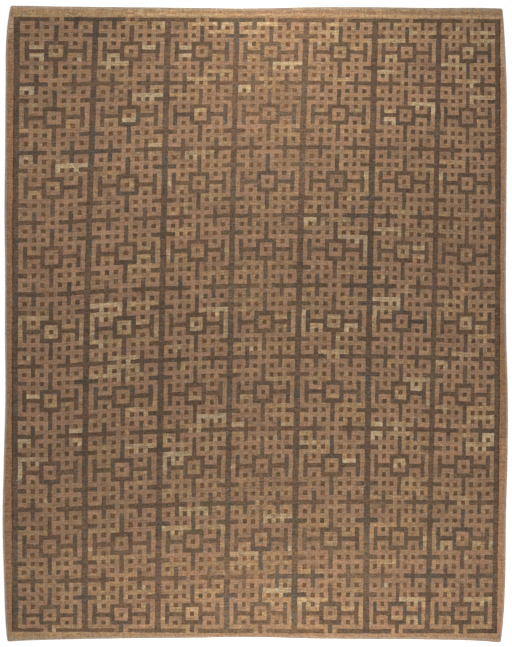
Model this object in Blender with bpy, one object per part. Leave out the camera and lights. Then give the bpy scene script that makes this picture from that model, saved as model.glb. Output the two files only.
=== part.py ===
"""A flat-woven wool rug lying flat on the floor, made as one piece.

Metres, +Z up. The rug's length runs along Y and its width along X. It rests on z = 0, with the
middle of the box around it at the origin. It is one closed solid: the cloth at its real thickness,
with the outline of a piece woven by hand, whose edges wander by up to a few centimetres, and with
the soft round rim of thick wool weft turned back at its edges. The ends are plain turned-under
hems, which are part of the cloth, and there is no fringe.
"""

from collections import namedtuple

import bpy
from mathutils import Vector

MM = 0.001

# Driving dimensions, in metres

RUG_WIDTH = 2458 * MM       # side to side at the widest place
RUG_LENGTH = 3102 * MM      # end to end at the longest place
RUG_THICKNESS = 4 * MM      # wool weft packed tight over the warp
RIM_ROUND = 1.6 * MM        # radius of the worn, rounded rim
CORNER_ROUND = 9 * MM       # distance from each corner at which its rounding starts

# Share of the way back to the corner at which a handle gives a near-circular arc
ARC_HANDLE = 0.55

# Smoothness of the curve between two points, and of the rim's quarter rounds
STEPS_PER_STRETCH = 5
RIM_STEPS = 1

WOOL_COLOUR = (0.231, 0.144, 0.084, 1.0)   # linear, the average of the tan and brown yarns
WOOL_ROUGHNESS = 0.93

# Where the edges lie. Every value is in millimetres: `up` and `across` are distances from the box's
# lower end and left side, and the others say how far an edge runs in from the box around the rug.

Side = namedtuple("Side", "up left_in right_in")
SIDES = (
    Side(up=100, left_in=14, right_in=23),
    Side(up=300, left_in=7, right_in=13),
    Side(up=600, left_in=0, right_in=9),
    Side(up=900, left_in=6, right_in=1),
    Side(up=1200, left_in=13, right_in=0),
    Side(up=1500, left_in=11, right_in=7),
    Side(up=1800, left_in=12, right_in=9),
    Side(up=2100, left_in=9, right_in=7),
    Side(up=2400, left_in=12, right_in=5),
    Side(up=2700, left_in=14, right_in=5),
    Side(up=2980, left_in=20, right_in=17),
)

End = namedtuple("End", "across lower_in upper_in")
ENDS = (
    End(across=120, lower_in=10, upper_in=1),
    End(across=300, lower_in=15, upper_in=4),
    End(across=600, lower_in=20, upper_in=7),
    End(across=900, lower_in=22, upper_in=10),
    End(across=1200, lower_in=26, upper_in=13),
    End(across=1500, lower_in=19, upper_in=7),
    End(across=1800, lower_in=16, upper_in=7),
    End(across=2100, lower_in=14, upper_in=11),
    End(across=2340, lower_in=7, upper_in=11),
)

Corner = namedtuple("Corner", "side_in end_in")
LOWER_LEFT = Corner(side_in=22, end_in=5)
LOWER_RIGHT = Corner(side_in=34, end_in=0)
UPPER_RIGHT = Corner(side_in=25, end_in=14)
UPPER_LEFT = Corner(side_in=37, end_in=0)


def clear_scene():
    """Remove whatever objects the scene starts with."""
    for obj in list(bpy.data.objects):
        bpy.data.objects.remove(obj, do_unlink=True)


def wool_material():
    """Hand-spun wool: matt, with the yarns' average colour."""
    material = bpy.data.materials.new("wool")
    material.use_nodes = True
    shader = material.node_tree.nodes["Principled BSDF"]
    shader.inputs["Base Color"].default_value = WOOL_COLOUR
    shader.inputs["Roughness"].default_value = WOOL_ROUGHNESS
    shader.inputs["Metallic"].default_value = 0.0
    return material


def from_left(side_in, up):
    """A point near the left side."""
    return Vector((side_in * MM, up * MM, 0))


def from_right(side_in, up):
    """A point near the right side."""
    return Vector((RUG_WIDTH - side_in * MM, up * MM, 0))


def outline_sides():
    """The outline's four sides in order, anticlockwise, each from one corner to the next."""
    top = RUG_LENGTH / MM
    lower_left = from_left(LOWER_LEFT.side_in, LOWER_LEFT.end_in)
    lower_right = from_right(LOWER_RIGHT.side_in, LOWER_RIGHT.end_in)
    upper_right = from_right(UPPER_RIGHT.side_in, top - UPPER_RIGHT.end_in)
    upper_left = from_left(UPPER_LEFT.side_in, top - UPPER_LEFT.end_in)

    lower_end = [from_left(row.across, row.lower_in) for row in ENDS]
    right_side = [from_right(row.right_in, row.up) for row in SIDES]
    upper_end = [from_left(row.across, top - row.upper_in) for row in reversed(ENDS)]
    left_side = [from_left(row.left_in, row.up) for row in reversed(SIDES)]

    return (
        [lower_left, *lower_end, lower_right],
        [lower_right, *right_side, upper_right],
        [upper_right, *upper_end, upper_left],
        [upper_left, *left_side, lower_left],
    )


def moved_towards(start, goal, distance):
    """The point that lies the given distance from start on the way to goal."""
    return start + (goal - start).normalized() * distance


def add_corner_point(point, place, corner, corner_is_behind):
    """One end of a corner's round: one handle leans towards the corner, the other along its side."""
    point.co = place
    handle = place.lerp(corner, ARC_HANDLE)
    if corner_is_behind:
        point.handle_left_type = "FREE"
        point.handle_left = handle
        point.handle_right_type = "VECTOR"
    else:
        point.handle_right_type = "FREE"
        point.handle_right = handle
        point.handle_left_type = "VECTOR"


def add_side(spline, side, first):
    """Lay one side along the spline: smooth between its ends, which are where the corners' rounds stop."""
    points = spline.bezier_points
    start = moved_towards(side[0], side[1], CORNER_ROUND)
    end = moved_towards(side[-1], side[-2], CORNER_ROUND)
    add_corner_point(points[first], start, side[0], corner_is_behind=True)
    for step, place in enumerate(side[1:-1], start=1):
        points[first + step].co = place
        points[first + step].handle_left_type = "AUTO"
        points[first + step].handle_right_type = "AUTO"
    last = first + len(side) - 1
    add_corner_point(points[last], end, side[-1], corner_is_behind=False)
    return last + 1


def rug_curve():
    """The filled flat outline, thickened to the cloth's thickness and rounded at its rim."""
    curve = bpy.data.curves.new("rug", "CURVE")
    curve.dimensions = "2D"
    curve.fill_mode = "BOTH"
    curve.resolution_u = STEPS_PER_STRETCH
    curve.extrude = RUG_THICKNESS / 2 - RIM_ROUND
    curve.bevel_depth = RIM_ROUND
    curve.bevel_resolution = RIM_STEPS
    curve.offset = -RIM_ROUND

    sides = outline_sides()
    spline = curve.splines.new("BEZIER")
    spline.use_cyclic_u = True
    spline.bezier_points.add(sum(len(side) for side in sides) - 1)
    position = 0
    for side in sides:
        position = add_side(spline, side, position)
    return curve


def weld_caps(obj):
    """Join the curve's two faces to its rim, so that the cloth is one closed solid."""
    weld = obj.modifiers.new("weld", "WELD")
    weld.merge_threshold = 0.00005


def stand_on_origin(obj):
    """Put the middle of the rug's box over the origin, with its underside on the floor."""
    bpy.context.view_layer.update()
    evaluated = obj.evaluated_get(bpy.context.evaluated_depsgraph_get())
    corners = [Vector(corner) for corner in evaluated.bound_box]
    middle_x = (min(c.x for c in corners) + max(c.x for c in corners)) / 2
    middle_y = (min(c.y for c in corners) + max(c.y for c in corners)) / 2
    obj.location = (-middle_x, -middle_y, RUG_THICKNESS / 2)


def main():
    clear_scene()
    collection = bpy.data.collections.new("flat woven rug")
    bpy.context.scene.collection.children.link(collection)

    rug = bpy.data.objects.new("rug", rug_curve())
    rug.data.materials.append(wool_material())
    collection.objects.link(rug)
    weld_caps(rug)
    stand_on_origin(rug)


main()
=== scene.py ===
"""A flat-woven wool rug as it looks: its fretwork, yarns, ribs and selvedges, on a pale floor.

Metres, +Z up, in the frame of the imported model. The rug's length runs along Y, and its upper end is
the one with the wider hem. The cloth is one closed sheet whose faces follow the weave: a column of
faces for each step of the fretwork's chart across the rug, and a row for each step along it. Every
yarn has its own wool, and each bobbin of it was dyed a little lighter, redder or yellower.
"""

import math
from collections import namedtuple

import bpy
import numpy as np
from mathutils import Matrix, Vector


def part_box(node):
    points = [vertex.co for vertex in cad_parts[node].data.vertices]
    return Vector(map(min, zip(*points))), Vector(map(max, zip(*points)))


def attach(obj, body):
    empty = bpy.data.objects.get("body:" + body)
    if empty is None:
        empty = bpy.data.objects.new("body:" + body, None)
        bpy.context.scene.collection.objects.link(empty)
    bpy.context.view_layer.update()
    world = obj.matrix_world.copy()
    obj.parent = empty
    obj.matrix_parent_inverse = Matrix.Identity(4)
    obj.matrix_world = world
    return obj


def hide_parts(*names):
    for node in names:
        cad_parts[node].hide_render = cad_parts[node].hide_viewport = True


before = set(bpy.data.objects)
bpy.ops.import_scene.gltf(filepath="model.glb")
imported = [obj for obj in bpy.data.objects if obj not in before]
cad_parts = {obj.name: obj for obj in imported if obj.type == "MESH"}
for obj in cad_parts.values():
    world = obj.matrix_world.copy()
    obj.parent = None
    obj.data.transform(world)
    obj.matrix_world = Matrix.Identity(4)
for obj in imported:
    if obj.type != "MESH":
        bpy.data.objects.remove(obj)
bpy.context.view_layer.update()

MM = 0.001

# The cloth, in metres

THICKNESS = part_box("rug")[1].z
RIM_ROUND = 1.6 * MM          # how far the worn rim rounds in from the outline
STEP_ACROSS = 21.7 * MM       # one step of the chart across the rug
STEP_ALONG = 20.9 * MM        # one step of the chart along the rug
SIDE_BAND = 30 * MM           # the plain band inside each selvedge
UPPER_HEM = 45 * MM
LOWER_HEM = 32 * MM
FLAT_SIZE = (2.44, 3.08)      # mean width and length that the cloth was woven to

# How finely the faces divide it

FACES_PER_STEP = 4
SIDE_BAND_FACES = 6
UPPER_HEM_FACES = 9
LOWER_HEM_FACES = 6

# The fretwork: one repeat, sixteen steps each way, with # for brown and . for tan. Below the middle
# the rows come back in the opposite order.

HALF_REPEAT = (
    "#######.#.######",
    "#...#.......#...",
    "#.#.#.#.#.#.#.#.",
    "#.......#.......",
    "###.#.#.#.#.#.##",
    "#.......#.......",
    "#.#.#.#####.#.#.",
    "#.#...#...#...#.",
    "#.#####.#.#####.",
)
REPEAT = 16
REPEATS_ACROSS = 7
COLUMNS = REPEATS_ACROSS * REPEAT + 1     # the last one is the stripe that closes the right side
ROWS = 141                                # the last figures are cut short and closed by a bar

# Where the weave really lies, since it was beaten down by hand, read off the photo. Millimetres
# from the middle of the rug: how far across each upright stripe stands at three heights, with its
# width, and how high the middles of the square rings and the first and last bars run in three of
# the figures, counted from the left.

STRIPE_HEIGHTS = (1460, 0, -1420)
Stripe = namedtuple("Stripe", "top middle bottom width")
STRIPES = (
    Stripe(-1160, -1170, -1170, width=30),
    Stripe(-775, -820, -830, width=30),
    Stripe(-425, -455, -475, width=30),
    Stripe(-90, -120, -140, width=28),
    Stripe(250, 210, 190, width=30),
    Stripe(585, 555, 540, width=30),
    Stripe(895, 870, 840, width=26),
    Stripe(1180, 1180, 1165, width=26),
)

FIGURES_READ = (1, 4, 7)
Level = namedtuple("Level", "row first fourth seventh")
LEVELS = (
    Level(0, 1485, 1480, 1475),
    Level(8, 1330, 1325, 1320),
    Level(24, 1005, 1025, 1005),
    Level(40, 660, 695, 685),
    Level(56, 325, 365, 335),
    Level(72, -40, 10, 5),
    Level(88, -375, -330, -345),
    Level(104, -725, -690, -695),
    Level(120, -1085, -1050, -1045),
    Level(136, -1420, -1410, -1410),
    Level(140, -1490, -1495, -1495),
)

# Yarns, and the place of each dye on its yarn's scale from 0 to 1

TAN, BAR, STRIPE, DOT, BAND, EDGE = range(6)
CAMEL, PLAIN, GOLD, STRAW, PALE = 0.0, 0.25, 0.5, 0.75, 1.0
ORANGE = 0.42
RED_BROWN, WALNUT, GREY_BROWN, OLIVE, SLATE = 0.0, 0.25, 0.5, 0.75, 1.0

# The upper hem's stripes from its edge inwards, one to each of its rows of faces: the dye, and the
# lightness near the left end, in the middle and near the right end
HemStripe = namedtuple("HemStripe", "dye left middle right")
HEM_STRIPES = (
    HemStripe(0.30, 1.02, 0.94, 0.90),
    HemStripe(0.30, 0.98, 0.92, 0.81),
    HemStripe(0.55, 1.20, 1.15, 1.08),
    HemStripe(0.40, 1.24, 1.05, 1.04),
    HemStripe(0.40, 1.25, 1.15, 0.97),
    HemStripe(0.50, 1.13, 1.44, 1.01),
    HemStripe(0.60, 0.96, 1.46, 1.18),
    HemStripe(0.60, 1.06, 1.08, 1.31),
    HemStripe(0.50, 1.05, 0.88, 1.18),
)
HEM_LEFT, HEM_RIGHT = 8, 92      # the columns of those two ends

# The places that stand out most where the weaver went on with a bobbin of another dye, seen in the
# photo, by the chart's columns and rows, first and last
Bobbin = namedtuple("Bobbin", "left right top bottom")
STRAW_BOBBINS = (
    Bobbin(38, 38, 1, 5), Bobbin(65, 71, 1, 1), Bobbin(65, 71, 3, 3), Bobbin(71, 71, 3, 5),
    Bobbin(81, 87, 5, 5), Bobbin(89, 95, 3, 3), Bobbin(105, 111, 3, 3), Bobbin(105, 111, 5, 5),
    Bobbin(7, 9, 71, 73), Bobbin(23, 25, 71, 73), Bobbin(39, 41, 71, 73), Bobbin(71, 73, 71, 73),
    Bobbin(103, 105, 71, 73), Bobbin(15, 15, 70, 75), Bobbin(17, 17, 70, 75),
    Bobbin(47, 47, 70, 75), Bobbin(63, 63, 70, 75), Bobbin(65, 65, 70, 75),
)
BRIGHT_BOBBINS = (
    Bobbin(38, 47, 1, 1), Bobbin(42, 47, 3, 3), Bobbin(49, 57, 1, 1), Bobbin(49, 54, 3, 3),
)
ORANGE_BOBBINS = (Bobbin(57, 63, 3, 3),)

# What each of those lists is: its dye and its lightness
CHARTED = (
    (STRAW, 0.99, STRAW_BOBBINS),
    (STRAW, 1.06, BRIGHT_BOBBINS),
    (ORANGE, 0.94, ORANGE_BOBBINS),
)


def linear(colour):
    """A colour written as sRGB hex, in the linear values that shaders and lights take."""
    channels = [int(colour[at:at + 2], 16) / 255 for at in (0, 2, 4)]
    made = [c / 12.92 if c <= 0.04045 else ((c + 0.055) / 1.055) ** 2.4 for c in channels]
    return (*made, 1.0)


def placed(name, data):
    """A new object of the scene with that name, at the origin."""
    obj = bpy.data.objects.new(name, data)
    bpy.context.scene.collection.objects.link(obj)
    return obj


def add(tree, kind, inputs=(), **settings):
    """Add a node with its settings.

    Its inputs come by name or number, or as a tuple in their order. Each is a value, or the output
    or node that feeds it.
    """
    made = tree.nodes.new(kind)
    for name, value in settings.items():
        setattr(made, name, value)
    named = dict(enumerate(inputs)) if isinstance(inputs, tuple) else inputs
    for name, value in named.items():
        if isinstance(value, bpy.types.Node):
            value = value.outputs[0]
        if isinstance(value, bpy.types.NodeSocket):
            tree.links.new(value, made.inputs[name])
        else:
            made.inputs[name].default_value = value
    return made


# The chart


def brown_chart():
    """The whole chart as true for brown and false for tan, rows from the upper end down."""
    repeat = [HALF_REPEAT[min(row, REPEAT - row)] for row in range(REPEAT)]
    rows = [repeat[row % REPEAT] for row in range(ROWS - 1)] + [repeat[0]]
    return np.array([[row[column % REPEAT] == "#" for column in range(COLUMNS)] for row in rows])


def run_lengths(chart):
    """For every step of the chart, how many like it lie together in its row, itself among them."""
    lengths = np.zeros(chart.shape, int)
    for row, cells in enumerate(chart):
        for first, last in runs(cells):
            lengths[row, first:last + 1] = last - first + 1
    return lengths


def runs(cells):
    """The first and last place of each stretch of like cells."""
    ends = [at for at in range(len(cells) - 1) if cells[at] != cells[at + 1]] + [len(cells) - 1]
    starts = [0] + [at + 1 for at in ends[:-1]]
    return list(zip(starts, ends))


def yarns_of(brown):
    """Which yarn each step is woven in: tan, a level bar, an upright stripe or a single dot."""
    across = run_lengths(brown)
    along = run_lengths(brown.T).T
    yarns = np.full(brown.shape, DOT)
    yarns[along >= 3] = STRIPE
    yarns[across >= 3] = BAR
    yarns[:, ::REPEAT] = np.where(brown[:, ::REPEAT], STRIPE, TAN)
    yarns[~brown] = TAN
    return yarns


TAN_DYES = (CAMEL, PLAIN, GOLD, STRAW, PALE)
BROWN_DYES = (RED_BROWN, WALNUT, GREY_BROWN, OLIVE, SLATE)

# Down to each named row, the painted light and shade on the tan and the brown wool at the left, in
# the middle and at the right of the rug, with a painted sheen on the middle of the brown, and how
# often each dye turns up, in the order of the two lists above
LotAndPaintedLight = namedtuple("LotAndPaintedLight", "last_row tan_light brown_light tan brown")
LOTS_AND_PAINTED_LIGHT = (
    LotAndPaintedLight(7, (1.01, 1.10, 1.04), (0.90, 1.15, 0.94),
        (0.28, 0.42, 0.21, 0.07, 0.02), (0.10, 0.34, 0.36, 0.14, 0.06)),
    LotAndPaintedLight(23, (0.99, 0.98, 1.06), (0.96, 1.16, 0.89),
        (0.30, 0.40, 0.21, 0.07, 0.02), (0.10, 0.30, 0.38, 0.15, 0.07)),
    LotAndPaintedLight(43, (1.09, 1.04, 1.05), (1.08, 1.20, 0.95),
        (0.34, 0.43, 0.20, 0.02, 0.01), (0.06, 0.24, 0.42, 0.17, 0.11)),
    LotAndPaintedLight(63, (1.06, 1.01, 1.00), (1.01, 1.08, 0.96),
        (0.36, 0.42, 0.19, 0.02, 0.01), (0.06, 0.24, 0.42, 0.17, 0.11)),
    LotAndPaintedLight(83, (1.00, 1.06, 1.04), (0.92, 1.08, 0.98),
        (0.30, 0.40, 0.19, 0.08, 0.03), (0.06, 0.24, 0.42, 0.17, 0.11)),
    LotAndPaintedLight(103, (0.98, 1.02, 1.09), (0.90, 1.05, 1.00),
        (0.30, 0.40, 0.19, 0.08, 0.03), (0.06, 0.24, 0.42, 0.17, 0.11)),
    LotAndPaintedLight(119, (0.98, 0.96, 1.02), (0.98, 1.07, 0.99),
        (0.33, 0.42, 0.20, 0.04, 0.01), (0.08, 0.22, 0.40, 0.20, 0.10)),
    LotAndPaintedLight(131, (1.02, 0.99, 1.00), (1.11, 1.25, 1.06),
        (0.32, 0.43, 0.20, 0.04, 0.01), (0.08, 0.22, 0.39, 0.21, 0.10)),
    LotAndPaintedLight(140, (1.08, 1.05, 1.02), (1.03, 1.20, 0.93),
        (0.32, 0.41, 0.21, 0.05, 0.01), (0.08, 0.22, 0.38, 0.22, 0.10)),
)
LEFT_OF, MIDDLE_FROM, MIDDLE_TO, RIGHT_OF = 40, 52, 60, 72      # the columns of those three places
CARRY_ON = 0.74       # share of the stretches that go on with the bobbin of the row before
DYE_SPREAD = 0.06     # how far a new bobbin strays from its dye
TONE_SPREAD = 0.055   # how far it strays in lightness, and how far each row of it does
ROW_SPREAD = 0.015
CHARTED_SPREAD = 0.03
TAN_STEPS = 0.04      # how far single steps of tan and of brown stray in lightness, and all in dye
BROWN_STEPS = 0.06
DYE_STEPS = 0.09


def lot_and_painted_light_at(row):
    """The dye lot that a row of the chart was woven from, with its painted light and shade."""
    return next(lot_and_painted_light for lot_and_painted_light in LOTS_AND_PAINTED_LIGHT if row <= lot_and_painted_light.last_row)


def dyed(brown, seed=7):
    """The dye and the lightness of every step, as the weaver's bobbins change row by row, with
    painted light.
    """
    random = np.random.default_rng(seed)
    dye = np.zeros(brown.shape)
    tone = np.ones(brown.shape)
    for row in range(ROWS):
        lot_and_painted_light = lot_and_painted_light_at(row)
        for first, last in runs(brown[row]):
            is_brown = brown[row, first]
            middle = (first + last) // 2
            carried = row > 0 and brown[row - 1, middle] == is_brown
            if carried and random.random() < CARRY_ON:
                new_dye = dye[row - 1, middle]
                new_tone = tone[row - 1, middle]
            else:
                options = BROWN_DYES if is_brown else TAN_DYES
                new_dye = random.choice(options, p=lot_and_painted_light.brown if is_brown else lot_and_painted_light.tan)
                new_dye = np.clip(new_dye + random.normal(0, DYE_SPREAD), 0, 1)
                new_tone = 1 + random.normal(0, TONE_SPREAD)
            dye[row, first:last + 1] = new_dye
            tone[row, first:last + 1] = new_tone + random.normal(0, ROW_SPREAD)
    for kind, light, bobbins in CHARTED:
        for bobbin in bobbins:
            rows = slice(bobbin.top, bobbin.bottom + 1)
            columns = slice(bobbin.left, bobbin.right + 1)
            tan = ~brown[rows, columns]
            dye[rows, columns][tan] = kind
            tone[rows, columns][tan] = light + random.normal(0, CHARTED_SPREAD)
    # Painted light and shade across the rug: each row's lightness at the left, in the middle and at
    # the right, with a painted sheen on the brown in the middle
    across = np.arange(COLUMNS)
    marks = (LEFT_OF, MIDDLE_FROM, MIDDLE_TO, RIGHT_OF)
    for row in range(ROWS):
        lot_and_painted_light = lot_and_painted_light_at(row)
        tan_light, brown_light = (
            np.interp(across, marks, (left, middle, middle, right))
            for left, middle, right in (lot_and_painted_light.tan_light, lot_and_painted_light.brown_light)
        )
        tone[row] *= np.where(brown[row], brown_light, tan_light)
    tone *= 1 + random.normal(0, 1, tone.shape) * np.where(brown, BROWN_STEPS, TAN_STEPS)
    return np.clip(dye + random.normal(0, DYE_STEPS, dye.shape), 0, 1), tone


# Where the weave's lines lie


def outline_sides():
    """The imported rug's outline as four curves: x by y for left and right, y by x for the ends."""
    points = np.array([v.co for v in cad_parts["rug"].data.vertices])
    rim = points[np.abs(points[:, 2] - THICKNESS / 2) < THICKNESS / 4][:, :2]
    rim = np.unique(np.round(rim, 6), axis=0)
    rim = rim[np.argsort(np.arctan2(rim[:, 1], rim[:, 0]))]
    corner = {
        (right, up): int(np.argmax(rim @ (right, up))) for right in (-1, 1) for up in (-1, 1)
    }
    curves = {}
    for side, begins, ends, by in (
        ("lower", (-1, -1), (1, -1), 0),
        ("right", (1, -1), (1, 1), 1),
        ("upper", (1, 1), (-1, 1), 0),
        ("left", (-1, 1), (-1, -1), 1),
    ):
        count = (corner[ends] - corner[begins]) % len(rim)
        found = rim[(corner[begins] + np.arange(count + 1)) % len(rim)]
        found = found[np.argsort(found[:, by])]
        curves[side] = (found[:, by], found[:, 1 - by])
    return curves


def stripe_places():
    """A smooth curve for each upright stripe's middle, x by y, and its width."""
    heights = np.array(STRIPE_HEIGHTS) * MM
    degree = len(STRIPE_HEIGHTS) - 1
    return [
        (np.polyfit(heights, np.array(stripe[:-1]) * MM, degree), stripe.width * MM)
        for stripe in STRIPES
    ]


def column_x(column, y, stripes):
    """How far across a line of the chart stands at the heights y, in even steps between stripes."""
    figure = np.clip(np.floor(column / REPEAT).astype(int), 0, REPEATS_ACROSS)
    within = column - figure * REPEAT
    x = np.empty(column.shape)
    for at, (curve, width) in enumerate(stripes):
        here = figure == at
        start = np.polyval(curve, y[here]) + width / 2
        step = within[here]
        x[here] = start + (step - 1) * width
        if at < REPEATS_ACROSS:
            next_curve, next_width = stripes[at + 1]
            end = np.polyval(next_curve, y[here]) - next_width / 2
            share = (step - 1) / (REPEAT - 1)
            x[here] = np.where(step < 1, x[here], start + share * (end - start))
    return x


def row_y(row, column):
    """How high a line of the chart runs at the given columns, level past the outer figures."""
    middles = np.array([(figure - 0.5) * REPEAT + 0.5 for figure in FIGURES_READ])
    spread = (np.clip(column, middles[0], middles[-1]) - middles.mean()) / REPEAT
    knots = (middles - middles.mean()) / REPEAT
    degree = len(FIGURES_READ) - 1
    lines = [
        np.polyval(np.polyfit(knots, np.array(level[1:]) * MM, degree), spread) for level in LEVELS
    ]
    marks = np.array([level.row + 0.5 for level in LEVELS])
    lower = np.clip(np.searchsorted(marks, row, side="right") - 1, 0, len(marks) - 2)
    share = (row - marks[lower]) / (marks[lower + 1] - marks[lower])
    lines = np.array(lines)
    across = np.arange(column.shape[1])[None, :]
    down = np.arange(column.shape[0])[:, None]
    above = lines[lower, down, across]
    below = lines[lower + 1, down, across]
    return above + share * (below - above)


def weave_lines():
    """The chart positions of the faces' lines: -1 is the left or upper edge of the cloth."""
    columns = np.concatenate((
        np.linspace(-1, 0, SIDE_BAND_FACES, endpoint=False),
        np.linspace(0, COLUMNS, COLUMNS * FACES_PER_STEP, endpoint=False),
        np.linspace(COLUMNS, COLUMNS + 1, SIDE_BAND_FACES + 1),
    ))
    rows = np.concatenate((
        np.linspace(-1, 0, UPPER_HEM_FACES, endpoint=False),
        np.arange(ROWS),
        np.linspace(ROWS, ROWS + 1, LOWER_HEM_FACES + 1),
    ))
    return columns, rows


HAND_SLIP = 0.9 * MM     # how far a figure's edge strays from its line
SLIP_DOWN, SLIP_ACROSS = 0.7, 0.4     # shares of it that carry on to the next row and column
SLIP_EVENED = 1.3        # what brings the sum back to about that distance
ROUNDS_TO_SETTLE = 6     # x and y hang on each other at the edges, so they are worked out by turns


def weave_places(columns, rows, outline, seed=3):
    """Where the lines cross, as x and y shaped (rows, columns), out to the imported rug's outline."""
    column, row = np.meshgrid(columns, rows)
    stripes = stripe_places()
    charted_column = np.clip(column, 0, COLUMNS)
    charted_row = np.clip(row, 0, ROWS)
    charted_y = row_y(charted_row, charted_column)
    left_out, right_out = -np.minimum(column, 0), np.maximum(column - COLUMNS, 0)
    upper_out, lower_out = -np.minimum(row, 0), np.maximum(row - ROWS, 0)
    y = charted_y
    for _ in range(ROUNDS_TO_SETTLE):
        x = column_x(charted_column, y, stripes)
        x = x + left_out * (np.interp(y, *outline["left"]) - x)
        x = x + right_out * (np.interp(y, *outline["right"]) - x)
        y = charted_y + upper_out * (np.interp(x, *outline["upper"]) - charted_y)
        y = y + lower_out * (np.interp(x, *outline["lower"]) - y)
    random = np.random.default_rng(seed)
    inside = (left_out + right_out + upper_out + lower_out) == 0
    return (
        x + inside * steady_slips(random, columns, rows),
        y + inside * steady_slips(random, columns, rows),
    )


def steady_slips(random, columns, rows):
    """A small random shift for each crossing, the same sign for a few steps together."""
    coarse = random.normal(0, HAND_SLIP, (ROWS + 3, COLUMNS + 3))
    before, beside = np.roll(coarse, 1, 0), np.roll(coarse, 1, 1)
    coarse = (coarse + before * SLIP_DOWN + beside * SLIP_ACROSS) / SLIP_EVENED
    down = np.clip(np.rint(rows + 1).astype(int), 0, ROWS + 2)
    left = np.clip(np.floor(columns + 1).astype(int), 0, COLUMNS + 1)
    share = np.clip(columns + 1 - left, 0, 1)
    picked = coarse[down]
    return picked[:, left] * (1 - share) + picked[:, left + 1] * share


def cloth_measure(position, steps, step, before, after):
    """Metres along the cloth for a chart position, with the bands or hems before and after it."""
    position = np.asarray(position, float)
    return np.where(
        position < 0,
        position * before,
        np.where(position > steps, steps * step + (position - steps) * after, position * step),
    )


# Colouring the faces

# The side bands' bobbins from the upper end down: the last row each reaches, its dye and its tone
LEFT_BAND = (
    (3, 0.80, 1.12), (24, 0.10, 0.98), (43, 0.30, 1.04), (66, 0.30, 0.93), (97, 0.26, 0.95),
    (122, 0.24, 0.94), (141, 0.04, 0.99),
)
RIGHT_BAND = (
    (0, 0.20, 1.06), (7, 0.80, 1.02), (11, 0.84, 1.06), (20, 0.10, 1.10), (41, 0.06, 1.18),
    (68, 0.16, 1.13), (88, 0.36, 1.01), (97, 0.18, 0.98), (141, 0.06, 1.20),
)
EDGE_PAINTED_SHADE = 0.92          # painted shade on the rounded rim, darkening its outermost faces
# Painted shade on the lower edge's rounded rim: the lightness of its two outermost rows of faces
LOWER_EDGE_PAINTED_SHADE = 0.84
DARK_LINE_TONE = 0.70     # the first warp of the outer stripes, packed tight against the band
PINK_LINE_TONE = 1.06
DARK_LINE_SHARE = 0.6     # share of those stretches that are dark, the others being pink
LINE_STRETCH = 11         # rows that such a line goes on for, on average
HEM_STRETCH = 13          # columns that one bobbin of the hem's weft goes across, on average
UPPER_HEM_DYE_SPREAD = 0.10
UPPER_HEM_SPREAD = 0.02   # in lightness, like those below
LOWER_HEM_DYES = (0.25, 0.40, 0.55, 0.70)
LOWER_HEM_TONE = 1.17
LOWER_HEM_SPREAD = 0.03
FACE_SPREAD = 0.012


def stretches(random, count, average):
    """Split a count into random stretches: the place where each begins, and where the next does."""
    start = 0
    while start < count:
        end = min(count, start + 2 + int(random.exponential(average - 2)))
        yield start, end
        start = end


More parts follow.
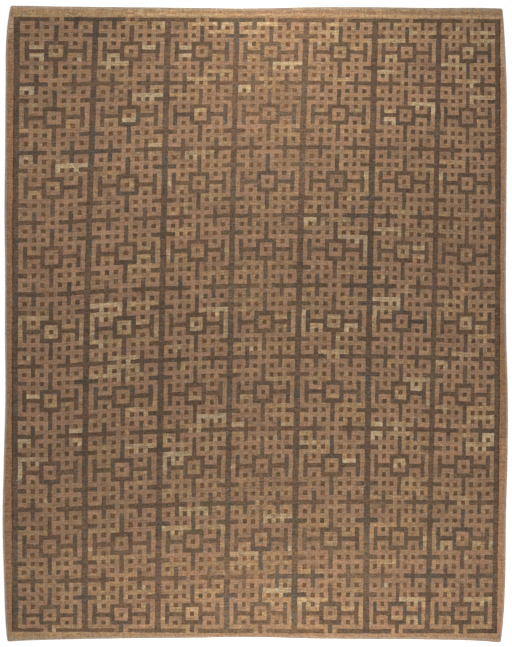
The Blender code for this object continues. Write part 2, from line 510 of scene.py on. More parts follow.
def face_colours(brown, seed=5):
    """Yarn, dye and tone for each of the upper face's faces, shaped (rows, columns) of faces."""
    random = np.random.default_rng(seed)
    yarns = yarns_of(brown)
    dyes, tones = dyed(brown)
    rows = UPPER_HEM_FACES + ROWS + LOWER_HEM_FACES
    columns = COLUMNS * FACES_PER_STEP + 2 * SIDE_BAND_FACES
    yarn = np.full((rows, columns), BAND)
    dye = np.full((rows, columns), PLAIN)
    tone = np.ones((rows, columns))
    field = (
        slice(UPPER_HEM_FACES, UPPER_HEM_FACES + ROWS),
        slice(SIDE_BAND_FACES, columns - SIDE_BAND_FACES),
    )
    for whole, charted in ((yarn, yarns), (dye, dyes), (tone, tones)):
        whole[field] = np.repeat(charted, FACES_PER_STEP, axis=1)

    left_faces, right_faces = slice(0, SIDE_BAND_FACES), slice(-SIDE_BAND_FACES, None)
    for band, at in ((LEFT_BAND, left_faces), (RIGHT_BAND, right_faces)):
        first = 0
        for last, band_dye, band_tone in band:
            here = slice(UPPER_HEM_FACES + first, UPPER_HEM_FACES + last + 1)
            dye[here, at] = band_dye
            tone[here, at] = band_tone
            first = last + 1

    for stripe_face, band_face in (
        (SIDE_BAND_FACES, SIDE_BAND_FACES - 1),
        (columns - SIDE_BAND_FACES - 1, columns - SIDE_BAND_FACES),
    ):
        for start, end in stretches(random, ROWS, LINE_STRETCH):
            here = slice(UPPER_HEM_FACES + start, UPPER_HEM_FACES + end)
            if random.random() < DARK_LINE_SHARE:
                dye[here, stripe_face] = RED_BROWN
                tone[here, stripe_face] *= DARK_LINE_TONE
            else:
                dye[here, band_face] = CAMEL
                tone[here, band_face] *= PINK_LINE_TONE

    across = np.linspace(-1, COLUMNS + 1, columns)
    for row, stripe in enumerate(HEM_STRIPES):
        dye[row] = stripe.dye
        tone[row] = np.interp(across, (HEM_LEFT, COLUMNS / 2, HEM_RIGHT), stripe[1:])
    lower_hem = slice(UPPER_HEM_FACES + ROWS, rows)
    for start, end in stretches(random, COLUMNS + 2, HEM_STRETCH):
        here = slice(start * FACES_PER_STEP, end * FACES_PER_STEP)
        dye[:UPPER_HEM_FACES, here] += random.normal(0, UPPER_HEM_DYE_SPREAD)
        tone[:UPPER_HEM_FACES, here] *= 1 + random.normal(0, UPPER_HEM_SPREAD)
        dye[lower_hem, here] = random.choice(LOWER_HEM_DYES)
        tone[lower_hem, here] = LOWER_HEM_TONE + random.normal(0, LOWER_HEM_SPREAD)

    yarn[:UPPER_HEM_FACES] = TAN
    yarn[lower_hem] = TAN
    yarn[:, (0, -1)] = EDGE
    yarn[(0, 1, -2, -1), :] = EDGE
    # Painted shade along the rounded rim: the outermost faces are darkened
    tone[:, (0, -1)] *= EDGE_PAINTED_SHADE
    tone[(-2, -1), :] = LOWER_EDGE_PAINTED_SHADE
    tone *= 1 + random.normal(0, FACE_SPREAD, tone.shape)
    return yarn, np.clip(dye, 0, 1), tone


# The cloth as a mesh


# The rim's rings below the upper face: how far in from the outline and how high each lies
RIM_RINGS = ((0.35 * MM, 3.3 * MM), (0.0, 2.0 * MM), (0.35 * MM, 0.7 * MM))

LIFT = 1.6 * MM            # how far the cloth's edges rise off the floor where it isn't quite flat
LIFT_WAVES = ((2.1, 0.4), (3.7, 1.9), (5.3, 4.1))     # radians a metre along an edge, and phase
LIFT_SLANT = 1.7           # the waves' slant, so that no two edges rise alike
LIFT_REACH = 260 * MM      # how far in from an edge that goes on


def edge_lift(x, y):
    """How far the cloth stands off the floor: not at all inside, a little in waves at the edges."""
    half_width, half_length = FLAT_SIZE[0] / 2, FLAT_SIZE[1] / 2
    from_edge = np.minimum(half_width - np.abs(x), half_length - np.abs(y))
    near = np.clip(1 - from_edge / LIFT_REACH, 0, 1) ** 2
    waves = [np.sin(rate * (x - LIFT_SLANT * y) + phase) for rate, phase in LIFT_WAVES]
    return LIFT * near * np.clip(0.5 + sum(waves) / len(waves), 0, 1)


def moved_in(x, y, distance):
    """The crossings with the outermost ones moved towards their inner neighbours."""
    inner_row = np.clip(np.arange(x.shape[0]), 1, x.shape[0] - 2)[:, None]
    inner_column = np.clip(np.arange(x.shape[1]), 1, x.shape[1] - 2)[None, :]
    dx, dy = x[inner_row, inner_column] - x, y[inner_row, inner_column] - y
    length = np.maximum(np.hypot(dx, dy), 1e-9)
    return x + dx / length * distance, y + dy / length * distance


def woven_mesh(brown):
    """The whole cloth: upper face, rounded rim and underside, closed, with its colours and maps."""
    columns, rows = weave_lines()
    x, y = weave_places(columns, rows, outline_sides())
    last_row, last_column = len(rows) - 1, len(columns) - 1
    weave_u, weave_v = np.meshgrid(
        cloth_measure(columns, COLUMNS, STEP_ACROSS, SIDE_BAND, SIDE_BAND),
        cloth_measure(rows, ROWS, STEP_ALONG, UPPER_HEM, LOWER_HEM),
    )
    column_at, _ = np.meshgrid(columns, rows)
    walk = walk_round(0, last_row, 0, last_column)
    walk_rows, walk_columns = (np.array(part) for part in zip(*walk))
    count = len(walk)

    places, maps, column_of = [], [], []

    def lay(layer_x, layer_y, height, at):
        """Add vertices, and give back the number of the first."""
        first = sum(len(part) for part in places)
        px, py = layer_x[at], layer_y[at]
        places.append(np.stack([px, py, height + edge_lift(px, py)], -1).reshape(-1, 3))
        maps.append(np.stack([weave_u[at], weave_v[at]], -1).reshape(-1, 2))
        column_of.append(column_at[at].reshape(-1))
        return first

    everywhere = (slice(None), slice(None))
    on_rim = (walk_rows, walk_columns)
    in_x, in_y = moved_in(x, y, RIM_ROUND)
    lay(in_x, in_y, THICKNESS, everywhere)
    upper_count = x.size
    rings = [walk_rows * (last_column + 1) + walk_columns]
    for inset, height in RIM_RINGS:
        ring_x, ring_y = moved_in(x, y, inset)
        rings.append(lay(ring_x, ring_y, height, on_rim) + np.arange(count))
    rings.append(lay(in_x, in_y, 0.0, on_rim) + np.arange(count))

    under_rows = [0, *range(UPPER_HEM_FACES, UPPER_HEM_FACES + ROWS + 1), last_row]
    under_columns = [
        0, *range(SIDE_BAND_FACES, last_column - SIDE_BAND_FACES + 1, FACES_PER_STEP), last_column,
    ]
    inner = np.meshgrid(under_rows[1:-1], under_columns[1:-1], indexing="ij")
    under = {place: int(number) for place, number in zip(walk, rings[-1])}
    first = lay(in_x, in_y, 0.0, (inner[0], inner[1]))
    for number, place in enumerate(zip(inner[0].ravel(), inner[1].ravel())):
        under[int(place[0]), int(place[1])] = first + number

    faces, colour_of = [], []
    for row in range(last_row):
        for column in range(last_column):
            corner = row * (last_column + 1) + column
            below = corner + last_column + 1
            faces.append((corner, below, below + 1, corner + 1))
            colour_of.append((row, column))
    upper_faces = len(faces)
    for high, low in zip(rings[:-1], rings[1:]):
        for at in range(count):
            after = (at + 1) % count
            faces.append((int(high[at]), int(high[after]), int(low[after]), int(low[at])))
            colour_of.append((
                min(walk[at][0], walk[after][0], last_row - 1),
                min(walk[at][1], walk[after][1], last_column - 1),
            ))
    rim_faces = len(faces)
    for top, bottom in zip(under_rows[:-1], under_rows[1:]):
        for left, right in zip(under_columns[:-1], under_columns[1:]):
            faces.append([
                under[place] for place in walk_round(top, bottom, left, right) if place in under
            ])
            colour_of.append(((top + bottom) // 2, (left + right) // 2))

    mesh = bpy.data.meshes.new("woven_rug")
    mesh.from_pydata(np.concatenate(places).tolist(), [], faces)
    paint_faces(mesh, brown, np.array(colour_of))
    add_maps(mesh, np.concatenate(maps), upper_faces, rim_faces)
    store(mesh, "column", "POINT", np.concatenate(column_of))
    is_upper = np.zeros(len(mesh.vertices))
    is_upper[:upper_count] = 1
    is_upper[rings[0]] = 0
    store(mesh, "upper", "POINT", is_upper)
    return mesh


def walk_round(top, bottom, left, right):
    """The crossings round a part of the grid, clockwise from its upper left as seen from above."""
    walk = [(top, column) for column in range(left, right)]
    walk += [(row, right) for row in range(top, bottom)]
    walk += [(bottom, column) for column in range(right, left, -1)]
    walk += [(row, left) for row in range(bottom, top, -1)]
    return walk


def store(mesh, name, domain, values):
    """Keep a number for each point or face under that name."""
    whole = values.dtype.kind == "i"
    stored = mesh.attributes.new(name, "INT" if whole else "FLOAT", domain)
    stored.data.foreach_set("value", values.astype(np.int32 if whole else np.float32))


def paint_faces(mesh, brown, colour_of):
    """Store each face's yarn, dye and tone."""
    for name, values in zip(("yarn", "dye", "tone"), face_colours(brown)):
        store(mesh, name, "FACE", values[colour_of[:, 0], colour_of[:, 1]])


def loop_numbers(mesh):
    """The vertex of each face corner, and the face that each corner belongs to."""
    vertex = np.empty(len(mesh.loops), np.int32)
    mesh.loops.foreach_get("vertex_index", vertex)
    total = np.empty(len(mesh.polygons), np.int32)
    mesh.polygons.foreach_get("loop_total", total)
    return vertex, np.repeat(np.arange(len(mesh.polygons)), total)


def points_of(mesh):
    """Every vertex's place, one row each."""
    places = np.empty(len(mesh.vertices) * 3, np.float32)
    mesh.vertices.foreach_get("co", places)
    return places.reshape(-1, 3)


def store_map(mesh, name, places):
    """Keep a map's place for each face corner under that name."""
    mesh.uv_layers.new(name=name).data.foreach_set("uv", places.astype(np.float32).ravel())


# The map that a texture of the whole piece is laid out by: the upper face takes nearly all of it,
# and a strip on its right holds the underside, smaller, and the rim's four sides on end.
MAP_UPPER = 0.79
MAP_GAP = 0.006
MAP_UNDER = 0.19
MAP_RIM_START = 0.30
MAP_RIM_HEIGHT = 0.68
MAP_RIM_WIDTH = 0.03


def add_maps(mesh, weave_places_of, upper_faces, rim_faces):
    """The map that follows the weave, in metres of cloth, and the one for a texture of it all."""
    vertex, face = loop_numbers(mesh)
    store_map(mesh, "Weave", weave_places_of[vertex])

    places = points_of(mesh)
    low, high = places.min(0), places.max(0)
    share = (places - low) / (high - low)
    at = share[vertex]
    u = MAP_GAP + at[:, 0] * (MAP_UPPER - 2 * MAP_GAP)
    v = MAP_GAP + at[:, 1] * (1 - 2 * MAP_GAP)
    under = face >= rim_faces
    u[under] = MAP_UPPER + MAP_GAP + at[under, 0] * MAP_UNDER
    v[under] = MAP_GAP + at[under, 1] * MAP_UNDER / MAP_UPPER
    rim = (face >= upper_faces) & (face < rim_faces)
    centre = np.zeros((len(mesh.polygons), 3))
    np.add.at(centre, face, share[vertex])
    centre /= np.bincount(face)[:, None]
    away = np.abs(centre[:, :2] - 0.5)
    on_end = away[:, 1] > away[:, 0]
    upper_half = np.where(on_end, centre[:, 1] > 0.5, centre[:, 0] > 0.5)
    lane = (on_end * 2 + upper_half)[face]
    along = np.where(on_end[face], at[:, 0], at[:, 1])
    height = places[vertex, 2] / high[2]
    lane_start = MAP_UPPER + MAP_GAP + lane * (MAP_RIM_WIDTH + 2 * MAP_GAP)
    u[rim] = (lane_start + height * MAP_RIM_WIDTH)[rim]
    v[rim] = (MAP_RIM_START + along * MAP_RIM_HEIGHT)[rim]
    store_map(mesh, "OFBake", np.stack([u, v], -1))


# Geometry Nodes


def tree_with(name, sizes):
    """A new tree with a geometry going in and out, and a named number going in for each size."""
    tree = bpy.data.node_groups.new(name, "GeometryNodeTree")
    tree.interface.new_socket("Geometry", in_out="INPUT", socket_type="NodeSocketGeometry")
    tree.interface.new_socket("Geometry", in_out="OUTPUT", socket_type="NodeSocketGeometry")
    for size, kind in sizes.items():
        tree.interface.new_socket(size, in_out="INPUT", socket_type=kind)
    return tree, add(tree, "NodeGroupInput").outputs


def run_tree(obj, tree, values):
    """Run the tree on the object with these inputs, and keep what comes out as its plain mesh."""
    modifier = obj.modifiers.new("nodes", "NODES")
    modifier.node_group = tree
    sockets = {item.name: item for item in tree.interface.items_tree if item.in_out == "INPUT"}
    for name, value in values.items():
        modifier[sockets[name].identifier] = value
    bpy.context.view_layer.update()
    evaluated = obj.evaluated_get(bpy.context.evaluated_depsgraph_get())
    made = bpy.data.meshes.new_from_object(evaluated)
    obj.modifiers.remove(modifier)
    obj.data = made
    for face in made.polygons:
        face.use_smooth = True


def relief_tree(wools):
    """Raise the warp ribs and an uneven surface on the upper face, and give every yarn its wool."""
    tree, given = tree_with("woven relief", {
        "Rib height": "NodeSocketFloat",
        "Ribs per step": "NodeSocketFloat",
        "Unevenness": "NodeSocketFloat",
        "Unevenness size": "NodeSocketFloat",
    })
    column = add(tree, "GeometryNodeInputNamedAttribute", {"Name": "column"}, data_type="FLOAT")
    upper = add(tree, "GeometryNodeInputNamedAttribute", {"Name": "upper"}, data_type="FLOAT")
    ribs = add(tree, "ShaderNodeMath", (column.outputs["Attribute"], given["Ribs per step"]),
               operation="MULTIPLY")
    turn = add(tree, "ShaderNodeMath", (ribs, math.tau), operation="MULTIPLY")
    wave = add(tree, "ShaderNodeMath", (turn,), operation="COSINE")
    rib = add(tree, "ShaderNodeMath", (wave, given["Rib height"]), operation="MULTIPLY")
    fineness = add(tree, "ShaderNodeMath", (1.0, given["Unevenness size"]), operation="DIVIDE")
    place = add(tree, "GeometryNodeInputPosition")
    noise = add(tree, "ShaderNodeTexNoise", {"Vector": place, "Scale": fineness, "Detail": 2.0})
    centred = add(tree, "ShaderNodeMath", (noise, 0.5), operation="SUBTRACT")
    uneven = add(tree, "ShaderNodeMath", (centred, given["Unevenness"]), operation="MULTIPLY")
    both = add(tree, "ShaderNodeMath", (rib, uneven), operation="ADD")
    raised = add(tree, "ShaderNodeMath", (both, upper.outputs["Attribute"]), operation="MULTIPLY")
    offset = add(tree, "ShaderNodeCombineXYZ", {"Z": raised})
    moved = add(tree, "GeometryNodeSetPosition", {"Geometry": given["Geometry"], "Offset": offset})
    realized = add(tree, "GeometryNodeRealizeInstances", {"Geometry": moved})
    yarn = add(tree, "GeometryNodeInputNamedAttribute", {"Name": "yarn"}, data_type="INT")
    geometry = realized.outputs[0]
    for number, wool in enumerate(wools):
        chosen = add(tree, "FunctionNodeCompare", {2: yarn.outputs["Attribute"], 3: number},
                     data_type="INT", operation="EQUAL")
        geometry = add(tree, "GeometryNodeSetMaterial", {
            "Geometry": geometry, "Selection": chosen, "Material": wool,
        }).outputs[0]
    add(tree, "NodeGroupOutput", {"Geometry": geometry})
    return tree


TURN_SEGMENTS, TURN_RINGS = 8, 5
TURN_LEAN = 0.15                       # radians either way
TURN_SMALLEST = (0.94, 0.94, 0.94)     # a turn's size beside its sizes below
TURN_LARGEST = (1.06, 1.06, 1.0)


def selvedge_tree(wool):
    """The turns of weft round the outermost warps: a small round pad at each pick of the edge."""
    tree, given = tree_with("selvedge turns", {
        "Pitch": "NodeSocketFloat",
        "Turn across": "NodeSocketFloat",
        "Turn along": "NodeSocketFloat",
        "Turn height": "NodeSocketFloat",
        "Seed": "NodeSocketInt",
    })
    path = add(tree, "GeometryNodeMeshToCurve", {"Mesh": given["Geometry"]})
    picks = add(tree, "GeometryNodeResampleCurve",
                {"Curve": path, "Length": given["Pitch"]}, mode="LENGTH")
    turn = add(tree, "GeometryNodeMeshUVSphere",
               {"Segments": TURN_SEGMENTS, "Rings": TURN_RINGS, "Radius": 0.5})
    size = add(tree, "ShaderNodeCombineXYZ", {
        "X": given["Turn across"], "Y": given["Turn along"], "Z": given["Turn height"],
    })
    shaped = add(tree, "GeometryNodeTransform", {"Geometry": turn.outputs["Mesh"], "Scale": size})
    lean = add(tree, "FunctionNodeRandomValue",
               {"Min": (0.0, 0.0, -TURN_LEAN), "Max": (0.0, 0.0, TURN_LEAN), "Seed": given["Seed"]},
               data_type="FLOAT_VECTOR")
    stretch = add(tree, "FunctionNodeRandomValue",
                  {"Min": TURN_SMALLEST, "Max": TURN_LARGEST, "Seed": given["Seed"]},
                  data_type="FLOAT_VECTOR")
    laid = add(tree, "GeometryNodeInstanceOnPoints", {
        "Points": picks,
        "Instance": shaped,
        "Rotation": lean,
        "Scale": stretch,
    })
    realized = add(tree, "GeometryNodeRealizeInstances", {"Geometry": laid})
    worn = add(tree, "GeometryNodeSetMaterial", {"Geometry": realized, "Material": wool})
    add(tree, "NodeGroupOutput", {"Geometry": worn})
    return tree


# Wool

# One bead is a pick of weft where it goes over a warp. Real ones are about 4 by 2 mm. They are
# drawn a little coarser, to show from above.
BEAD_ACROSS = STEP_ACROSS / 4
BEAD_ALONG = STEP_ALONG / 5
BEAD_SHADE = 0.48         # how much lighter the lightest bead is than the darkest
BEAD_DYE = 0.30           # how far a bead strays along its yarn's scale of dyes
BEAD_TINT = (0.24, 0.0, -0.40)    # how far one is redder, and at the other end bluer
BEAD_HEIGHT = 0.5 * MM
BEAD_STRENGTH = 0.6

# What makes the wool uneven: how far one such place goes across and along, how finely it breaks up,
# how much it lightens or darkens the wool, and how far it moves it along its scale of dyes
Uneven = namedtuple("Uneven", "across along detail shade dye")
UNEVEN = (
    Uneven(60 * MM, 7 * MM, 1.0, 0.90, 0.30),        # thick and thin lengths of hand-spun weft
    Uneven(6.5 * MM, 60 * MM, 1.0, 0.44, 0.20),      # warps that stand a little high or low
    Uneven(28 * MM, 28 * MM, 3.0, 0.16, 0.34),       # places where the dye took more or less
)

# Each yarn's dyes, from 0 to 1 on its scale, the colour and share of its undyed beads, and how much
# its beads differ, beside the tan ones
Wool = namedtuple("Wool", "name dyes fleck flecks motley")
WOOLS = (
    Wool("tan_wool", ("8a6b55", "856b54", "896c50", "947d5e", "a28e73"), "a2907a", 0.003, 1.00),
    Wool("brown_wool", ("5f4838", "5e4834", "5c4939", "5b4932", "524439"), "786650", 0.004, 1.55),
    Wool("grey_brown_wool", ("5e473a", "5d4836", "5b493a", "594935", "51473d"), "766858", 0.005,
         1.50),
    Wool("walnut_wool", ("63452f", "62462d", "5e4632", "5b472e", "523f30"), "785e48", 0.004, 1.55),
    Wool("band_wool", ("8b6a50", "8a684d", "8b6948", "997e60", "a28b70"), "a08a6c", 0.004, 1.00),
    Wool("worn_edge_wool", ("a08c7e", "9e8c7b", "9f8d7a", "a3927f", "a89a86"), "b0a090", 0.008,
         0.80),
)
ROUGHNESS = 0.92
ROUGHNESS_CHANGE = 0.10
SHEEN = 0.12
SHEEN_ROUGHNESS = 0.6
SPECULAR = 0.25


def new_material(name):
    """A matt material of fibres with that name, its tree and its shader."""
    material = bpy.data.materials.new(name)
    material.use_nodes = True
    shader = material.node_tree.nodes["Principled BSDF"]
    shader.inputs["Sheen Weight"].default_value = SHEEN
    shader.inputs["Sheen Roughness"].default_value = SHEEN_ROUGHNESS
    shader.inputs["Specular IOR Level"].default_value = SPECULAR
    return material, material.node_tree, shader


# Single picks of brown weft that were carried out across a side band: on which side, how far down
# the chart in rows, and how thick
StrayPick = namedtuple("StrayPick", "side row thick")
STRAY_PICKS = (
    StrayPick(-1, 98.5, 5 * MM), StrayPick(-1, 101.8, 5 * MM), StrayPick(-1, 105.1, 4 * MM),
    StrayPick(1, 97.5, 4 * MM), StrayPick(1, 103.0, 5 * MM), StrayPick(1, 107.0, 6 * MM),
)
STRAY_SHADE = 0.30


def wool_material(wool):
    """Hand-spun sheep's wool, dyed in small lots and packed tight over a cotton warp.

    The eye gets a matt cloth of small staggered beads, each its own shade, with faint upright ribs
    where the warps run, level streaks where thick and thin lengths of weft lie over them, blotches
    where the dye took unevenly, a few undyed flecks, and a pale bloom of fibres at a low angle.
    """
    material, tree, shader = new_material(wool.name)
    weave = add(tree, "ShaderNodeUVMap", uv_map="Weave").outputs[0]
    along = add(tree, "ShaderNodeSeparateXYZ", (weave,))

    down = add(tree, "ShaderNodeMath", (along.outputs["Y"], BEAD_ALONG), operation="DIVIDE")
    pick = add(tree, "ShaderNodeMath", (down,), operation="FLOOR")
    across = add(tree, "ShaderNodeMath", (along.outputs["X"], BEAD_ACROSS), operation="DIVIDE")
    staggered = add(tree, "ShaderNodeMath", (pick, 0.5, across), operation="MULTIPLY_ADD")
    warp = add(tree, "ShaderNodeMath", (staggered,), operation="FLOOR")
    bead = add(tree, "ShaderNodeCombineXYZ", {"X": warp, "Y": pick})
    chance = add(tree, "ShaderNodeTexWhiteNoise", {"Vector": bead}, noise_dimensions="3D")
    chances = add(tree, "ShaderNodeSeparateColor", (chance.outputs["Color"],))

    bead_shade = BEAD_SHADE * wool.motley
    bead_tint = [tint * wool.motley for tint in BEAD_TINT]
    base_shade = 1 - bead_shade / 2 - sum(uneven.shade for uneven in UNEVEN) / 2
    base_dye = -BEAD_DYE / 2 - sum(uneven.dye for uneven in UNEVEN) / 2
    shade = add(tree, "ShaderNodeMath", (chances, bead_shade, base_shade),
                operation="MULTIPLY_ADD")
    change = add(tree, "ShaderNodeMath", (chances.outputs[1], BEAD_DYE, base_dye),
                 operation="MULTIPLY_ADD")
    for uneven in UNEVEN:
        place = add(tree, "ShaderNodeVectorMath",
                    (weave, (1 / uneven.across, 1 / uneven.along, 1.0)), operation="MULTIPLY")
        noise = add(tree, "ShaderNodeTexNoise",
                    {"Vector": place, "Scale": 1.0, "Detail": uneven.detail})
        shade = add(tree, "ShaderNodeMath", (noise, uneven.shade, shade), operation="MULTIPLY_ADD")
        change = add(tree, "ShaderNodeMath", (noise, uneven.dye, change), operation="MULTIPLY_ADD")

    dye = add(tree, "ShaderNodeAttribute", attribute_name="dye")
    uneven_dye = add(tree, "ShaderNodeMath", (dye.outputs["Fac"], change), operation="ADD")
    ramp = add(tree, "ShaderNodeValToRGB", {"Fac": uneven_dye})
    stops = ramp.color_ramp.elements
    for number, colour in enumerate(wool.dyes):
        share = number / (len(wool.dyes) - 1)
        stop = stops[0] if number == 0 else stops[-1] if share == 1 else stops.new(share)
        stop.color = linear(colour)
    undyed = add(tree, "ShaderNodeMath", (chances.outputs[2], wool.flecks), operation="LESS_THAN")
    coloured = add(tree, "ShaderNodeMix",
                   {0: undyed, 6: ramp.outputs["Color"], 7: linear(wool.fleck)},
                   data_type="RGBA")
    tone = add(tree, "ShaderNodeAttribute", attribute_name="tone")
    brightness = add(tree, "ShaderNodeMath", (shade, tone.outputs["Fac"]), operation="MULTIPLY")
    if wool.name == "band_wool":
        brightness = stray_picks(tree, along, brightness)
    centred = add(tree, "ShaderNodeMath", (chances.outputs[2], 0.5), operation="SUBTRACT")
    tint = add(tree, "ShaderNodeVectorMath",
               (centred, bead_tint, (1.0, 1.0, 1.0)), operation="MULTIPLY_ADD")
    tinted = add(tree, "ShaderNodeVectorMath", (coloured.outputs[2], tint), operation="MULTIPLY")
    shown = add(tree, "ShaderNodeVectorMath", {0: tinted, 3: brightness},
                operation="SCALE")
    tree.links.new(shown.outputs[0], shader.inputs["Base Color"])

    over_warp = add(tree, "ShaderNodeMath", (staggered, 1.0), operation="PINGPONG")
    over_pick = add(tree, "ShaderNodeMath", (down, 1.0), operation="PINGPONG")
    rounded = add(tree, "ShaderNodeMath", (over_warp, over_pick), operation="MULTIPLY")
    height = add(tree, "ShaderNodeMath", (rounded, shade), operation="ADD")
    bump = add(tree, "ShaderNodeBump",
               {"Height": height, "Distance": BEAD_HEIGHT, "Strength": BEAD_STRENGTH})
    tree.links.new(bump.outputs["Normal"], shader.inputs["Normal"])
    roughness = add(tree, "ShaderNodeMapRange", {
        "Value": noise,
        "To Min": ROUGHNESS - ROUGHNESS_CHANGE / 2,
        "To Max": ROUGHNESS + ROUGHNESS_CHANGE / 2,
    })
    tree.links.new(roughness.outputs["Result"], shader.inputs["Roughness"])
    return material


def stray_picks(tree, along, brightness):
    """The same brightness, darker where a stray pick of brown weft crosses a side band."""
    for stray in STRAY_PICKS:
        middle = -SIDE_BAND / 2 if stray.side < 0 else COLUMNS * STEP_ACROSS + SIDE_BAND / 2
        on_side = add(tree, "ShaderNodeMath", (along.outputs["X"], middle, SIDE_BAND / 2),
                      operation="COMPARE")
        height = (stray.row + 0.5) * STEP_ALONG
        on_pick = add(tree, "ShaderNodeMath",
                      (along.outputs["Y"], height, stray.thick / 2), operation="COMPARE")
        dark = add(tree, "ShaderNodeMath", (on_side, on_pick), operation="MULTIPLY")
        left = add(tree, "ShaderNodeMath", (dark, -STRAY_SHADE, 1.0), operation="MULTIPLY_ADD")
        brightness = add(tree, "ShaderNodeMath", (brightness, left), operation="MULTIPLY")
    return brightness


EDGE_DYES = ("8c7a70", "978478", "a29084")
EDGE_DYES_FROM, EDGE_DYES_TO = 0.30, 0.70     # the share of the noise that they are spread over
PATCHES = (8.0, 22.0, 8.0)                    # patches and fibres to a metre, across, along and up
FIBRES = (150.0, 900.0, 400.0)
FIBRE_HEIGHT = 0.4 * MM
FIBRE_STRENGTH = 0.5


def edge_wool_material():
    """The same wool where it turns round the outermost warps: matt, rubbed, greyed and dusty."""
    material, tree, shader = new_material("selvedge_wool")
    place = add(tree, "ShaderNodeTexCoord").outputs["Object"]
    patches = add(tree, "ShaderNodeVectorMath", (place, PATCHES), operation="MULTIPLY")
    change = add(tree, "ShaderNodeTexNoise", {"Vector": patches, "Scale": 1.0, "Detail": 3.0})
    ramp = add(tree, "ShaderNodeValToRGB", {"Fac": change.outputs["Fac"]})
    stops = ramp.color_ramp.elements
    stops[0].position, stops[0].color = EDGE_DYES_FROM, linear(EDGE_DYES[0])
    stops[-1].position, stops[-1].color = EDGE_DYES_TO, linear(EDGE_DYES[-1])
    stops.new(0.5).color = linear(EDGE_DYES[1])
    tree.links.new(ramp.outputs["Color"], shader.inputs["Base Color"])
    fibres = add(tree, "ShaderNodeVectorMath", (place, FIBRES), operation="MULTIPLY")
    hair = add(tree, "ShaderNodeTexNoise", {"Vector": fibres, "Scale": 1.0, "Detail": 2.0})
    bump = add(tree, "ShaderNodeBump", {
        "Height": hair.outputs["Fac"], "Distance": FIBRE_HEIGHT, "Strength": FIBRE_STRENGTH,
    })
    tree.links.new(bump.outputs["Normal"], shader.inputs["Normal"])
    shader.inputs["Roughness"].default_value = ROUGHNESS
    return material


# The selvedges' turns of weft

TURN_PITCH = 6.0 * MM
TURN_ACROSS = 13.0 * MM
TURN_ALONG = 9.0 * MM
TURN_HEIGHT = 4.3 * MM
TURN_IN = 5.0 * MM         # from the outline in to the middle of a turn
TURN_CLEAR = 0.15 * MM     # how far a turn stays off the floor
CORNER_CLEAR = 16 * MM     # the turns stop short of the hems' folded corners


def selvedge_turns(wool):
    """The weft's turns along both long sides, as one piece."""
    outline = outline_sides()
    places, edges = [], []
    for side, inward in (("left", 1), ("right", -1)):
        heights, across = outline[side]
        inside = (heights > heights[0] + CORNER_CLEAR) & (heights < heights[-1] - CORNER_CLEAR)
        first = len(places)
        for y, x in zip(heights[inside], across[inside]):
            x = x + inward * TURN_IN
            lift = float(edge_lift(np.array(x), np.array(y)))
            places.append((x, y, TURN_HEIGHT / 2 + TURN_CLEAR + lift))
        edges += [(at, at + 1) for at in range(first, len(places) - 1)]
    mesh = bpy.data.meshes.new("selvedge_turns")
    mesh.from_pydata(places, edges, [])
    piece = placed("selvedge_turns", mesh)
    run_tree(piece, selvedge_tree(wool), {
        "Pitch": TURN_PITCH,
        "Turn across": TURN_ACROSS,
        "Turn along": TURN_ALONG,
        "Turn height": TURN_HEIGHT,
        "Seed": 4,
    })
    lay_out_turns(piece.data)
    return piece


# The turns' map, in shares of it: the gap at both ends, where each side starts and how wide it is
TURN_MAP_GAP = 0.01
TURN_MAP_STARTS = {-1: 0.02, 1: 0.52}
TURN_MAP_WIDTH = 0.46


def lay_out_turns(mesh):
    """A map for a texture of the turns: each selvedge takes half of it, on end, seen from above."""
    vertex, _ = loop_numbers(mesh)
    x, y = points_of(mesh)[vertex, :2].T
    v = TURN_MAP_GAP + (y - y.min()) / (y.max() - y.min()) * (1 - 2 * TURN_MAP_GAP)
    u = np.zeros(len(x))
    for sign, start in TURN_MAP_STARTS.items():
        here = np.sign(x) == sign
        low, high = x[here].min(), x[here].max()
        u[here] = start + (x[here] - low) / (high - low) * TURN_MAP_WIDTH
    store_map(mesh, "OFBake", np.stack([u, v], -1))


# The rug

RELIEF = {
    "Rib height": 0.3 * MM,
    "Ribs per step": FACES_PER_STEP / 2,
    "Unevenness": 1.2 * MM,
    "Unevenness size": 0.12,
}


def woven_rug():
    """The cloth, as one piece."""
    piece = placed("woven_rug", woven_mesh(brown_chart()))
    wools = [wool_material(wool) for wool in WOOLS]
    run_tree(piece, relief_tree(wools), RELIEF)
    return piece


# The room

FLOOR_SIZE = 140.0
FLOOR_COLOUR = "f4f2f3"
FLOOR_ROUGHNESS = 0.8
FLOOR_GLOW = 0.22          # the photo's ground is lit to near white
FLOOR_GAP = 0.4 * MM


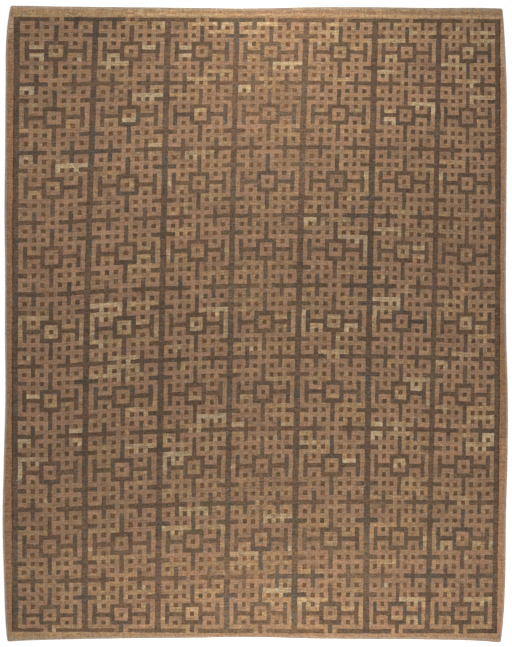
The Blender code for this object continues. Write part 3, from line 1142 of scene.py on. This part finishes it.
def studio_floor():
    """A plain pale floor, wide enough for every view."""
    half = FLOOR_SIZE / 2
    mesh = bpy.data.meshes.new("studio_floor")
    corners = ((-half, -half), (half, -half), (half, half), (-half, half))
    mesh.from_pydata([(x, y, -FLOOR_GAP) for x, y in corners], [], [(0, 1, 2, 3)])
    floor = placed("studio_floor", mesh)
    paint = bpy.data.materials.new("matt_floor_paint")
    paint.use_nodes = True
    shader = paint.node_tree.nodes["Principled BSDF"]
    shader.inputs["Base Color"].default_value = linear(FLOOR_COLOUR)
    shader.inputs["Roughness"].default_value = FLOOR_ROUGHNESS
    shader.inputs["Emission Color"].default_value = (1.0, 1.0, 1.0, 1.0)
    shader.inputs["Emission Strength"].default_value = FLOOR_GLOW
    mesh.materials.append(paint)
    return floor


# Soft lights: where each hangs, its size across and along, its power and its colour
Softbox = namedtuple("Softbox", "name place size power colour")
SOFTBOXES = (
    Softbox("overhead_softbox", (-0.10, 0.5, 4.2), (3.0, 3.6), 96.0, "fffaf4"),
    Softbox("upper_softbox", (0.10, 1.42, 0.90), (0.7, 0.3), 6.6, "fff6ea"),
    Softbox("lower_softbox", (0.22, -1.66, 1.00), (1.6, 0.3), 12.4, "fff6ea"),
)
ROOM_LIGHT = 0.52
ROOM_COLOUR = "fbfaf8"


def light_room():
    """An even pale room, a large softbox overhead and a small one over each end of the rug."""
    world = bpy.data.worlds.new("pale_room")
    bpy.context.scene.world = world
    world.use_nodes = True
    background = world.node_tree.nodes["Background"]
    background.inputs["Color"].default_value = linear(ROOM_COLOUR)
    background.inputs["Strength"].default_value = ROOM_LIGHT
    for box in SOFTBOXES:
        light = bpy.data.lights.new(box.name, "AREA")
        light.shape = "RECTANGLE"
        light.size, light.size_y = box.size
        light.energy = box.power
        light.color = linear(box.colour)[:3]
        lamp = placed(box.name, light)
        lamp.location = box.place
        lamp.visible_camera = False


VIEW_LENGTH = 3.151        # how much of the floor the photo takes in along the rug
VIEW_ACROSS = 0.0038       # how far its middle stands from the rug's, across and along
VIEW_ALONG = 0.0025
LENS = 100.0
SENSOR = 36.0
FAR_CLIP = 400.0


def camera_above():
    """The camera of the photo: far above the rug, looking straight down."""
    camera = bpy.data.cameras.new("camera")
    camera.lens = LENS
    camera.sensor_width = SENSOR
    camera.clip_end = FAR_CLIP
    holder = placed("camera", camera)
    holder.location = (VIEW_ACROSS, VIEW_ALONG, THICKNESS + VIEW_LENGTH * LENS / SENSOR)
    bpy.context.scene.camera = holder


rug = woven_rug()
turns = selvedge_turns(edge_wool_material())
floor = studio_floor()
light_room()
camera_above()
bpy.context.scene.view_settings.view_transform = "Standard"

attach(rug, "root")
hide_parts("rug")
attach(turns, "root")
